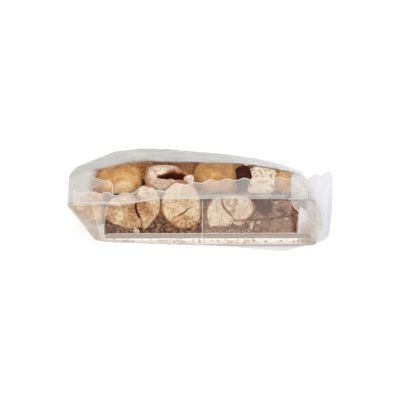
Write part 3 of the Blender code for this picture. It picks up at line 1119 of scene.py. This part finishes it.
def top_nuts():
    """Broken and cut nuts on top of the bar."""
    nuts = []
    outline = [
        (0.0018, 0.0066), (0.0046, 0.0050), (0.0058, 0.0014), (0.0055, -0.0030), (0.0034, -0.0062),
        (-0.0006, -0.0074), (-0.0042, -0.0058), (-0.0062, -0.0020), (-0.0055, 0.0018), (-0.0026, 0.0052),
    ]

    def speckled(u, v, mask):
        spots = flat_noise(u * 700.0, v * 700.0, 77.0)
        mask[2] = 0.8 * smooth_step(0.15, 0.45, spots)

    nuts.append(CutNut("nut_top_e", (0.0212, -0.0010, 0.0162), outline, 0.0074, tilt=54.0,
                       relief=lumps_relief(0.0012, 0.0004, 51.0), marks=speckled, seed=22, bevel=0.0009))

    outline = [
        (-0.0019, 0.0062), (0.0016, 0.0062), (0.0036, 0.0048), (0.0060, 0.0034), (0.0078, 0.0014),
        (0.0078, -0.0014), (0.0057, -0.0034), (0.0029, -0.0045), (0.0002, -0.0062), (-0.0026, -0.0072),
        (-0.0050, -0.0053), (-0.0071, -0.0024), (-0.0079, 0.0005), (-0.0074, 0.0034), (-0.0057, 0.0053),
    ]
    hollow = [(-0.0030, 0.0000), (-0.0006, 0.0004), (0.0016, 0.0008), (0.0043, 0.0002), (0.0064, -0.0009)]
    crumbled = lumps_relief(0.0013, 0.00035, 61.0)

    def beyond(u, v):
        """How far outside the dark hollow a point of the face is; less than nought inside it."""
        wave = 0.0006 * flat_noise(u * 650.0, v * 650.0, 5.0)
        reach = mix(0.0004, 0.0016, smooth_step(-0.0034, 0.0008, u))
        return distance_to_line((u, v), hollow) + wave - reach

    def cavity(u, v):
        shelf = 0.0013 * smooth_step(0.0022, 0.0036, v) * smooth_step(0.0060, 0.0020, u)
        lip = 0.0007 * smooth_step(-0.0010, -0.0050, v)
        rough = crumbled(u, v) * smooth_step(-0.001, 0.002, v)
        return shelf + lip + rough - 0.0060 * smooth_step(0.0, -0.0008, beyond(u, v))

    def cavity_marks(u, v, mask):
        # painted shade in the hollow, over its carved depth
        mask[1] = smooth_step(0.0004, -0.0002, beyond(u, v))
        mask[2] = 0.45 * smooth_step(0.0010, -0.0006, v) * (1.0 - mask[1])
        tan_lobe = smooth_step(0.0022, 0.0040, u) * smooth_step(0.0008, 0.0022, v)
        mask[2] = max(mask[2], 0.7 * tan_lobe)
        mask[0] = max(mask[0], 0.5 * tan_lobe)
        fissure = smooth_step(0.08, 0.0, abs(flat_noise(u * 420.0, v * 620.0, 71.0)))
        mask[2] = max(mask[2], 0.75 * fissure * smooth_step(0.0, 0.002, v))
        brim = 0.9 * smooth_step(0.0012, 0.0002, beyond(u, v)) * smooth_step(-0.0012, 0.0002, v)
        right = 0.6 * smooth_step(0.0044, 0.0062, u) * smooth_step(-0.003, 0.002, v)
        left = 0.75 * smooth_step(0.0060, 0.0076, math.hypot(u, v)) * smooth_step(-0.0020, -0.0050, u)
        mask[0] = max(mask[0], brim, right, left)

    nuts.append(CutNut("nut_broken", (-0.0112, -0.0070, 0.0182), outline, 0.0085, tilt=60.0,
                       relief=cavity, marks=cavity_marks, seed=21, bevel=0.0009, hollow=0.8))

    outline = [(0.00052, 0.002375), (0.00182, 0.001375), (0.00156, -0.0015), (0.0, -0.00225),
               (-0.00156, -0.00075), (-0.00169, 0.00125)]
    nuts.append(CutNut("nut_chip", (-0.0038, -0.0125, 0.0186), outline, 0.0018, tilt=20.0, seed=23))
    return nuts


def cream_patches(*patches):
    """Marks of bare cream patches, each given as a centre and a radius."""

    def marks(vertex, mask):
        for centre, radius in patches:
            gap = (vertex.co - Vector(centre)).length
            wave = 0.45 * noise.noise(vertex.co * 420.0) + 0.25 * noise.noise(vertex.co * 1100.0)
            edge = radius * (1.0 + wave)
            mask[2] = max(mask[2], 0.9 * smooth_step(edge, edge * 0.5, gap))

    return marks


def whole_nuts():
    patches = cream_patches(((-0.0262, -0.0094, 0.0152), 0.0038), ((-0.0318, -0.0080, 0.0160), 0.0022),
                            ((-0.0250, -0.0066, 0.0172), 0.0014), ((-0.0275, -0.0105, 0.0130), 0.0040))

    def mottled(vertex, mask):
        spots = noise.noise(vertex.co * 420.0) + 0.5 * noise.noise(vertex.co * 1100.0)
        mask[2] = smooth_step(-0.05, 0.40, spots)
        mask[1] = 0.35 * smooth_step(0.42, 0.60, noise.noise(vertex.co * 900.0 + Vector((5.0, 0.0, 0.0))))

    return [
        WholeNut("nut_left_end", (-0.0376, -0.0105, 0.0078), (0.0062, 0.0070, 0.0066), seed=11,
                 lumps=0.14, marks=mottled),
        WholeNut("nut_top_a", (-0.0275, 0.0000, 0.0121), (0.0089, 0.0100, 0.0086), seed=12,
                 marks=patches, square=0.92),
        WholeNut("nut_top_d", (0.0052, 0.0012, 0.0128), (0.0083, 0.0098, 0.0088), seed=13,
                 lumps=0.03, square=0.88),
        WholeNut("nut_top_f", (0.0298, 0.0010, 0.0116), (0.0052, 0.0080, 0.0066), seed=14, lumps=0.12),
        WholeNut("nut_back_a", (-0.0350, 0.0135, 0.0098), (0.0062, 0.0062, 0.0070), seed=15),
        WholeNut("nut_back_b", (-0.0205, 0.0145, 0.0112), (0.0084, 0.0058, 0.0086), seed=16),
        WholeNut("nut_back_c", (-0.0048, 0.0145, 0.0110), (0.0082, 0.0057, 0.0084), seed=17),
        WholeNut("nut_back_d", (0.0104, 0.0142, 0.0102), (0.0076, 0.0056, 0.0080), seed=18),
        WholeNut("nut_back_e", (0.0238, 0.0135, 0.0090), (0.0070, 0.0056, 0.0070), seed=19),
    ]


CARAMEL_LUMPS = [
    ((0.0150, 0.0030, 0.0118), (0.0046, 0.0080, 0.0074)),
    ((-0.0200, 0.0020, 0.0122), (0.0044, 0.0070, 0.0072)),
    ((-0.0130, 0.0110, 0.0110), (0.0060, 0.0070, 0.0085)),
    ((0.0020, 0.0110, 0.0105), (0.0060, 0.0070, 0.0082)),
    ((0.0180, 0.0110, 0.0095), (0.0060, 0.0070, 0.0076)),
    ((-0.0280, 0.0110, 0.0105), (0.0060, 0.0070, 0.0080)),
]


def caramel_mesh(faces, wholes, film):
    """The caramel: a rough block that rises round the nuts, all but the left end nut and the thinnest cut
    pieces, rebuilt as one even skin.
    """
    shape = bmesh.new()
    bmesh.ops.create_cube(shape, size=1.0)
    low = Vector((-0.0330, CUT_FACE + 0.0010, CARAMEL_FOOT))
    high = Vector((0.0336, BAR_BACK - 0.0005, 0.0128))
    for vertex in shape.verts:
        vertex.co = Vector(mix(low[axis], high[axis], vertex.co[axis] + 0.5) for axis in range(3))
        if vertex.co.x > 0.0 and vertex.co.y > 0.0:
            vertex.co.z -= 0.0022
    for nut in wholes:
        if nut.centre.x < -0.0360:
            continue
        ball = unit_ball(3)
        for vertex in ball.verts:
            body = Vector(vertex.co[axis] * (nut.half[axis] * 1.03 + 0.0003) for axis in range(3))
            vertex.co = nut.centre + body - Vector((0.0, 0.0, 0.0024))
            vertex.co.z = max(vertex.co.z, CARAMEL_FOOT)
        add_shape(shape, ball)
    for centre, half in CARAMEL_LUMPS:
        ball = unit_ball(3)
        for vertex in ball.verts:
            vertex.co = Vector(centre[axis] + half[axis] * vertex.co[axis] for axis in range(3))
            vertex.co.z = max(vertex.co.z, CARAMEL_FOOT)
        add_shape(shape, ball)
    for nut in faces:
        if nut.depth < 0.004:
            continue
        ball = bmesh.new()
        for point in nut.bulk():
            ball.verts.new(point + Vector((0.0, 0.0016, -0.0012)))
        bmesh.ops.convex_hull(ball, input=ball.verts)
        add_shape(shape, ball)
    mesh = even_mesh(mesh_of(shape, "caramel"), CARAMEL_VOXEL, CARAMEL_ROUNDS)
    outlines = [nut for nut in faces if nut.centre.y < CUT_FACE + 0.0001]
    spots = []
    normals = [vertex.normal.copy() for vertex in mesh.vertices]
    masks = []
    for vertex, normal in zip(mesh.vertices, normals):
        place = vertex.co.copy()
        rough = 0.00040 * noise.noise(place * 260.0) + 0.00022 * noise.noise(place * 800.0)
        vertex.co = place + normal * rough
        front = smooth_step(CUT_FACE + 0.0034, CUT_FACE + 0.0016, place.y)
        jagged = 0.0009 * noise.noise(Vector((1.0, place.y * 200.0, place.z * 520.0)))
        if place.x > 0.0325:
            vertex.co.x += jagged
        ragged = place.x + 0.0010 * noise.noise(place * 420.0)
        layer = smooth_step(-0.0004, 0.0008, place.x) * smooth_step(0.0058, 0.0044, place.z)
        right = max(smooth_step(0.0236, 0.0252, ragged), 0.45 * smooth_step(0.0180, 0.0196, ragged),
                    0.22 * layer)
        orange = smooth_step(0.0318, 0.0328, place.x + 0.0010 * noise.noise(place * 500.0))
        rim = 0.0
        for nut in outlines:
            u, v = place.x - nut.centre.x, place.z - nut.centre.z
            turn = int(math.atan2(v, u) % math.tau / math.tau * nut.TURNS) % nut.TURNS
            rim = max(rim, smooth_step(0.0009, 0.0002, math.hypot(u, v) - nut.radii[turn]))
        top = smooth_step(0.0150, 0.0172, place.z) * smooth_step(0.006, 0.002, place.x)
        tan = 0.75 * (1.0 - front) * max(smooth_step(0.0030, 0.0060, place.y), top)
        masks.append((right * front, max(orange * front, 0.55 * rim * front, tan), 1.0 - front))
        spots.append(tuple(front * value for value in caramel_spots(place)))
    store_masks(mesh, masks)
    store_masks(mesh, spots, "spots")
    keep_inside(mesh, film)
    return mesh


def caramel_spots(place):
    """On the cut face: the dark mass and grey spot, pale chips, and painted shade in the crack over the
    base layer and in the cleft.
    """
    x, z = place.x, place.z
    wave = 0.0007 * noise.noise(place * 450.0)
    mass = near((x, z * 0.9), [(0.0206, 0.0124), (0.0219, 0.0099)], 0.0032, 0.0022, wave)
    core = near((x, z), [(0.0272, 0.0098), (0.0286, 0.0092)], 0.0012, 0.0006, wave)
    # the crack and the cleft get painted shade
    crack = near((x, z), BASE_CRACK, 0.0005, 0.0002, 0.4 * wave)
    chips = max(smooth_step(size, size * 0.7, math.hypot(x - cx, (z - cz) * 0.8) + 0.6 * wave)
                for cx, cz, size in PALE_CHIPS)
    cleft = near((x, z), CLEFT, 0.0007, 0.0003)
    return max(mass, 0.8 * core), chips * (1.0 - cleft), max(crack, cleft)


CLEFT = [(-0.0219, 0.0126), (-0.0219, 0.0107), (-0.0214, 0.0090), (-0.0208, 0.0076)]
BASE_CRACK = [(0.0186, 0.0064), (0.0250, 0.0068), (0.0292, 0.0076), (0.0318, 0.0080)]
PALE_CHIPS = [
    (0.0177, 0.0048, 0.0010),
    (0.0200, 0.0054, 0.0005),
    (0.0262, 0.0128, 0.0006),
    (0.0296, 0.0070, 0.0006),
]


def add_shape(shape, other):
    carrier = mesh_of(other, "carrier")
    shape.from_mesh(carrier)
    bpy.data.meshes.remove(carrier)


# ---------------------------------------------------------------- crumbs
def lump(shape, centre, size, seed):
    """Adds one irregular crumb."""
    ball = unit_ball(2)
    spin = Euler((seed * 1.3, seed * 2.1, seed * 0.7)).to_matrix()
    for vertex in ball.verts:
        reach = 1.0 + 0.35 * noise.noise(vertex.co * 1.3 + Vector((seed, 0.0, 0.0)))
        body = spin @ Vector((vertex.co.x, vertex.co.y * 0.75, vertex.co.z * 0.6))
        vertex.co = Vector(centre) + body * size * reach
    add_shape(shape, ball)


def crumb_mesh(name, crumbs, film):
    shape = bmesh.new()
    for index, (centre, size) in enumerate(crumbs):
        lump(shape, centre, size, index * 1.7)
    mesh = mesh_of(shape, name)
    store_masks(mesh, [(0.0, 0.0, 0.0)] * len(mesh.vertices))
    keep_inside(mesh, film)
    return mesh


def floor_crumbs(chance):
    """Crumbs that have dropped to the bag's floor in front of the bar, in loose groups."""
    groups = [(-0.0265, 0.0022, 10), (-0.0085, 0.0030, 22), (-0.0012, 0.0010, 7), (0.0190, 0.0052, 26),
              (0.0350, 0.0022, 12), (0.0, 0.0180, 24)]
    crumbs = []
    for middle, spread, count in groups:
        for _ in range(count):
            x = min(max(chance.gauss(middle, spread), -0.0315), 0.0375)
            y = chance.uniform(-0.0255, -0.0215)
            size = chance.uniform(0.00025, 0.00070)
            crumbs.append(((x, y, 0.0004 + size * 0.5), size))
    return crumbs


STUCK_CHIPS = [
    ((-0.0217, CUT_FACE - 0.0006, 0.0028), 0.0013),
    ((-0.0222, CUT_FACE - 0.0004, 0.0038), 0.0007),
    ((0.0177, CUT_FACE + 0.0001, 0.0050), 0.0007),
    ((0.0176, CUT_FACE + 0.0001, 0.0038), 0.0006),
    ((-0.0322, CUT_FACE, 0.0128), 0.0004),
    ((-0.0302, CUT_FACE, 0.0122), 0.0003),
]
AMBER_DROPS = [
    ((-0.0366, -0.0075, 0.0172), 0.0013),
    ((-0.0341, CUT_FACE - 0.0030, 0.0024), 0.0005),
    ((0.0326, CUT_FACE + 0.0002, 0.0062), 0.0007),
    ((0.0330, CUT_FACE + 0.0003, 0.0048), 0.0006),
    ((0.0328, CUT_FACE + 0.0002, 0.0034), 0.0006),
    ((0.0331, CUT_FACE + 0.0003, 0.0022), 0.0004),
    ((0.0323, CUT_FACE + 0.0002, 0.0080), 0.0006),
    ((0.0320, CUT_FACE + 0.0002, 0.0092), 0.0006),
    ((0.0314, CUT_FACE + 0.0002, 0.0106), 0.0005),
    ((0.0316, CUT_FACE + 0.0001, 0.0050), 0.0004),
    ((0.0309, CUT_FACE + 0.0001, 0.0070), 0.0004),
]


def side_crumbs(chance):
    """Finer crumbs caught along the inside of the left and right ends and on the front panel."""
    crumbs = []
    for _ in range(26):
        crumbs.append(((chance.uniform(-0.0420, -0.0345), chance.uniform(-0.0190, -0.0120),
                        chance.uniform(0.0030, 0.0150)), chance.uniform(0.00012, 0.00028)))
    for _ in range(60):
        crumbs.append(((chance.uniform(0.0335, 0.0395), chance.uniform(-0.0200, -0.0150),
                        chance.uniform(0.0008, 0.0085)), chance.uniform(0.00012, 0.00032)))
    return crumbs


# ---------------------------------------------------------------- stage
# sine of the height above the horizon, grey level of the sky there
SKY_STOPS = ((0.0, 0.80), (0.16, 0.78), (0.28, 0.14), (0.60, 0.14), (0.80, 0.60))


def make_stage():
    floor = Shader("pale_floor")
    grain = floor.noise(0.05, detail=2.0)
    paper = floor.ramp(grain, (0.3, (208, 208, 208)), (0.7, (210, 210, 210)))
    material = floor.finish(floor.principled(paper, 0.9, Specular_IOR_Level=0.1, Emission_Strength=0.57,
                                             Emission_Color=(1.0, 1.0, 1.0, 1.0)))
    mesh = grid_mesh("floor", [[Vector((x, y, 0.0)) for x in (-2.0, 2.0)] for y in (-2.0, 2.0)])
    plane = add_object("floor", mesh, material)
    world = bpy.data.worlds.new("studio")
    world.use_nodes = True
    tree = world.node_tree
    spot = tree.nodes.new("ShaderNodeTexCoord")
    split = tree.nodes.new("ShaderNodeSeparateXYZ")
    ramp = tree.nodes.new("ShaderNodeValToRGB")
    set_stops(ramp.color_ramp.elements, SKY_STOPS)
    tree.links.new(spot.outputs["Generated"], split.inputs[0])
    tree.links.new(split.outputs["Z"], ramp.inputs["Fac"])
    tree.links.new(ramp.outputs["Color"], tree.nodes["Background"].inputs["Color"])
    bpy.context.scene.world = world
    soft_light("key_light", (-0.45, -0.80, 0.60), 0.60, 4.7)
    soft_light("top_light", (0.20, 0.05, 1.00), 0.70, 2.1)
    soft_light("fill_light", (0.55, -0.75, 0.45), 0.60, 3.4)


def soft_light(name, place, size, power):
    lamp = bpy.data.lights.new(name, "AREA")
    lamp.shape = "SQUARE"
    lamp.size = size
    lamp.energy = power
    thing = place_object(name, lamp)
    thing.location = place
    thing.rotation_euler = (CAMERA_TARGET - Vector(place)).to_track_quat("-Z", "Y").to_euler()


def make_camera():
    lens = bpy.data.cameras.new("camera")
    lens.lens = CAMERA_LENS
    lens.sensor_width = SENSOR
    lens.clip_start = 0.01
    camera = place_object("camera", lens)
    camera.location = CAMERA_PLACE
    camera.rotation_euler = (math.pi / 2.0 - CAMERA_ELEVATION, 0.0, 0.0)
    bpy.context.scene.camera = camera


# ---------------------------------------------------------------- build
def film_masks(mesh):
    """Haze, a darker brownish tint that is painted shade, and calm (less shine) over the film's body.

    Little haze where the film lies over the bar, more at the loose ends, and beyond the top ridge a haze
    with less shine that is a painted reflection of the glancing top band.
    """
    masks = []
    for vertex in mesh.vertices:
        x, y, z = vertex.co
        high = smooth_step(0.0120, 0.0160, z)
        low = smooth_step(0.0032, 0.0010, z)
        foot = smooth_step(0.0120, 0.0050, z)
        front = smooth_step(-0.0120, -0.0165, y)
        back = smooth_step(0.0180, 0.0240, y)
        ridge = mix(-0.0010, 0.0035, smooth_step(-0.0200, 0.0200, x))
        # beyond the top ridge: haze in place of shine, a painted reflection of the glancing top band
        glare_band = smooth_step(ridge, ridge + 0.0055, y) * smooth_step(0.0090, 0.0130, z)
        wedge = smooth_step(-0.0192, -0.0200, y) * low
        toe = smooth_step(0.0080, 0.0045, z) * front
        frost_and_shade = smooth_step(0.0072, 0.0042, z) * front * smooth_step(-0.0215, -0.0265, x)
        left = smooth_step(-0.0310 - 0.0040 * high, -0.0390 - 0.0030 * high, x)
        left = max(left, toe * smooth_step(-0.0326, -0.0338, x))
        right = smooth_step(0.0326, 0.0344, x)
        inner = 1.0 - smooth_step(0.0370, 0.0415, x)
        left_haze = 0.24 + 0.24 * high + (0.12 + 0.28 * front) * foot + 0.70 * toe
        right_haze = (0.24 + (0.20 + 2.00 * front * inner) * foot) * (1.0 - 0.7 * wedge)
        haze = max(left_haze * left, right_haze * right, 0.30 * glare_band * glare_band,
                   mix(1.20, 0.50, wedge) * low, 0.07 * back, 0.09 * frost_and_shade)
        # painted shade: the veil turns darker brownish at the loose ends, the foot, the bag's floor and
        # the low left front
        warm_shade = max(0.55 * foot * left, (0.35 + 0.60 * foot) * right * (0.2 + 0.8 * inner),
                   0.7 * low * inner, 0.8 * glare_band * (1.0 - glare_band), 0.8 * frost_and_shade)
        calm = 0.98 * (1.0 - max(0.7 * left, 0.15 * right, glare_band, 0.5 * low, back))
        masks.append((haze, warm_shade, calm))
    return masks


# kind of film: haze, tint, share of streaks in the haze
FILM_KINDS = {
    "sealed_film": (0.50, (214, 207, 200), 0.35),
    "second_film": (0.14, (224, 207, 192), 0.35),
    # near-white creases: painted highlights along the folds, on raised ribbons of film
    "crease_highlight_film": (0.80, (246, 242, 238), 0.35),
    # the bottom pleat's nearly opaque brown-grey tint is a painted reflection of the brown bar in the
    # fold
    "pleat_reflection_film": (3.0, (150, 136, 124), 0.35),
    # the ear's grey-lavender tint, nearly opaque, is painted shade on the standing flap
    "ear_film": (2.2, (212, 211, 216), 0.12),
    "loose_film": (0.22, (228, 228, 231), 0.12),
    "tab_film": (0.34, (230, 228, 224), 0.15),
    "grey_film": (0.55, (206, 200, 194), 0.15),
    # the left pleat is a real second layer; its pale cream tint is a painted highlight of the fold
    "fold_highlight_film": (0.36, (240, 228, 212), 0.35),
    # lighter ribs pressed into the seal: painted highlights along the crimps
    "rib_highlight_film": (0.40, (236, 230, 222), 0.35),
}
RIGHT_FOLD_LINE = [
    (0.0314, 0.0139), (0.0316, 0.0121), (0.0326, 0.0106), (0.0348, 0.0086), (0.0383, 0.0058),
    (0.0417, 0.0027),
]
# patch: kind of film, and the two runs of (x, z) points that bound it
LAID_PATCHES = {
    "lap_overlap": (
        "second_film", [(0.0008, -0.0020), (0.0312, -0.0020)], [(0.0007, 0.0146), (0.0312, 0.0146)],
    ),
    "left_tuck": (
        "second_film", [(-0.0368, 0.0129), (-0.0317, 0.0129), (-0.0297, 0.0129)],
        [(-0.0368, 0.0218), (-0.0317, 0.0204), (-0.0297, 0.0192)],
    ),
    "right_tuck": (
        "tab_film", [(0.0312, 0.0142), (0.0341, 0.0142), (0.0354, 0.0149), (0.0361, 0.0166)],
        [(0.0312, 0.0228), (0.0340, 0.0224), (0.0352, 0.0220), (0.0361, 0.0215)],
    ),
    "right_fold": (
        "grey_film", RIGHT_FOLD_LINE,
        [(0.0314, 0.0140), (0.0341, 0.0137), (0.0368, 0.0133), (0.0387, 0.0124), (0.0410, 0.0100),
         (0.0428, 0.0060)],
    ),
    # pale cream left pleat: painted highlight of the fold over a real second layer
    "left_pleat": (
        "fold_highlight_film", [(-0.0342, 0.0020), (-0.0351, 0.0053), (-0.0368, 0.0125)],
        [(-0.0325, 0.0020), (-0.0324, 0.0068), (-0.0314, 0.0118)],
    ),
    # the pleat's brown-grey is a painted reflection of the bar
    "bottom_pleat": (
        "pleat_reflection_film", [(-0.0326, 0.0), (0.0382, 0.0)], [(-0.0320, 0.0018), (0.0375, 0.0018)],
    ),
}
# crease: its width and its run of (x, z) points
LAID_CREASES = {
    "lap_edge": (0.00024, [(0.0007, -0.0020), (0.0008, 0.0070), (0.0007, 0.0146)]),
    "pleat_low_edge": (0.00036, [(-0.0328, -0.0003), (0.0, -0.0003), (0.0383, -0.0002)]),
    "pleat_top_edge": (0.00020, [(-0.0320, 0.0017), (0.0, 0.0018), (0.0375, 0.0019)]),
    "pleat_end": (0.00030, [(0.0383, -0.0001), (0.0383, 0.0010), (0.0375, 0.0019)]),
    "left_fold_outer": (
        0.00022, [(-0.0368, 0.0125), (-0.0351, 0.0053), (-0.0344, 0.0028), (-0.0338, 0.0)],
    ),
    "left_fold_inner": (0.00022, [(-0.0314, 0.0118), (-0.0322, 0.0084), (-0.0324, 0.0068)]),
    "left_tuck_edge": (0.00020, [(-0.0299, 0.0129), (-0.0298, 0.0160), (-0.0297, 0.0192)]),
    "left_tuck_top": (
        0.00020, [(-0.0368, 0.0218), (-0.0341, 0.0210), (-0.0317, 0.0204), (-0.0297, 0.0192)],
    ),
    "right_tuck_edge": (0.00024, [(0.0312, 0.0125), (0.0311, 0.0175), (0.0312, 0.0226)]),
    "right_fold_line": (0.00026, RIGHT_FOLD_LINE),
    "right_fold_top": (
        0.00018,
        [(0.0316, 0.0121), (0.0328, 0.0131), (0.0341, 0.0136), (0.0368, 0.0132), (0.0387, 0.0124)],
    ),
    "right_tuck_low": (
        0.00018,
        [(0.0312, 0.0142), (0.0341, 0.0142), (0.0355, 0.0149), (0.0362, 0.0167), (0.0362, 0.0200)],
    ),
    "right_root": (0.00034, [(0.0300, 0.0139), (0.0330, 0.0139), (0.0364, 0.0140)]),
    "root_line_a": (0.00036, [(-0.0100, 0.0152), (0.0, 0.0154), (0.0150, 0.0154), (0.0300, 0.0152)]),
    "root_line_b": (
        0.00040,
        [(-0.0433, 0.0129), (-0.0270, 0.0128), (-0.0190, 0.0136), (-0.0100, 0.0151), (0.0, 0.0152)],
    ),
}
# rib pressed into the front seal: from x, to x, height as a share of the seal, width
SEAL_RIBS = [
    (-0.0090, 0.0285, 0.13, 0.00050),
    (0.0010, 0.0300, 0.21, 0.00030),
    (0.0060, 0.0240, 0.30, 0.00022),
]
SEAL_EDGE_END = 0.0312


def make_film():
    clear = film_material("clear_film", 0.001, (236, 233, 228), wrinkle=0.0004)
    films = {name: film_material(name, *kind) for name, kind in FILM_KINDS.items()}

    def lay(name, mesh, kind):
        ride(add_object(name, mesh, films[kind]))

    mesh = even_mesh(film_hull(), FILM_VOXEL, FILM_ROUNDS)
    film = tree_of(mesh)
    mesh = film_wrinkles(mesh)
    store_masks(mesh, film_masks(mesh))
    skin = tree_of(mesh)
    ride(add_object("film_body", mesh, clear))
    lay("front_seal", grid_mesh("front_seal", front_seal_rows()), "sealed_film")
    lay("back_seal", grid_mesh("back_seal", back_seal_rows()), "sealed_film")
    # the ear is drawn in grey-lavender film: painted shade
    lay("film_ear", grid_mesh("film_ear", ear_rows(), (0.0, 0.0, 0.85)), "ear_film")
    lay("film_lip", grid_mesh("film_lip", lip_rows(), (0.0, 0.0, 0.85)), "loose_film")
    for name, (kind, low_line, high_line) in LAID_PATCHES.items():
        lay(name, laid_patch(name, skin, low_line, high_line), kind)

    def along_seal(start, end, share, steps):
        return [front_seal_point(mix(start, end, step / steps), share) for step in range(steps + 1)]

    # the seal's cut edge, its ribs and the laid creases are drawn in near-white film, painted highlights
    edge = along_seal(SEAL_LEFT, SEAL_EDGE_END, 0.99, round((SEAL_RIGHT - SEAL_LEFT) / FILM_STEP))
    lay("seal_cut_edge", ribbon("seal_cut_edge", edge, 0.00026), "crease_highlight_film")
    for index, (start, end, share, width) in enumerate(SEAL_RIBS):
        line = along_seal(start, end, share * SEAL_WIDTH_RIGHT / front_seal_width(0.02), 80)
        lay(f"seal_rib_{index}", ribbon(f"seal_rib_{index}", line, width), "rib_highlight_film")
    for name, (width, line) in LAID_CREASES.items():
        lay(name, laid_crease(name, skin, line, width), "crease_highlight_film")
    return film


def main():
    make_camera()
    make_stage()
    scene = bpy.context.scene
    scene.view_settings.view_transform = "Standard"
    scene.cycles.transparent_max_bounces = 32

    film = make_film()
    coated = whole_nut_material()
    cut = cut_nut_material("cut_nut", (212, 176, 132), (230, 203, 166), (240, 222, 194))
    pale = cut_nut_material("pale_cut_nut", (222, 200, 172), (240, 224, 202), (248, 238, 220))
    faces = front_nuts() + top_nuts()
    wholes = whole_nuts()
    ride(add_object("caramel", caramel_mesh(faces, wholes, film), caramel_material()))
    for nut in faces:
        ride(nut.build(pale if nut.centre.x > 0.0 or nut.tilt else cut, film))
    for nut in wholes:
        ride(nut.build(coated, film))

    def scatter(name, crumbs, material):
        ride(add_object(name, crumb_mesh(name, crumbs, film), material))

    chance = random.Random(11)
    golden = crumb_material()
    scatter("floor_crumbs", floor_crumbs(chance), golden)
    scatter("stuck_chips", STUCK_CHIPS, pale)
    scatter("amber_drops", AMBER_DROPS, amber_material())
    scatter("side_crumbs", side_crumbs(chance), golden)


main()
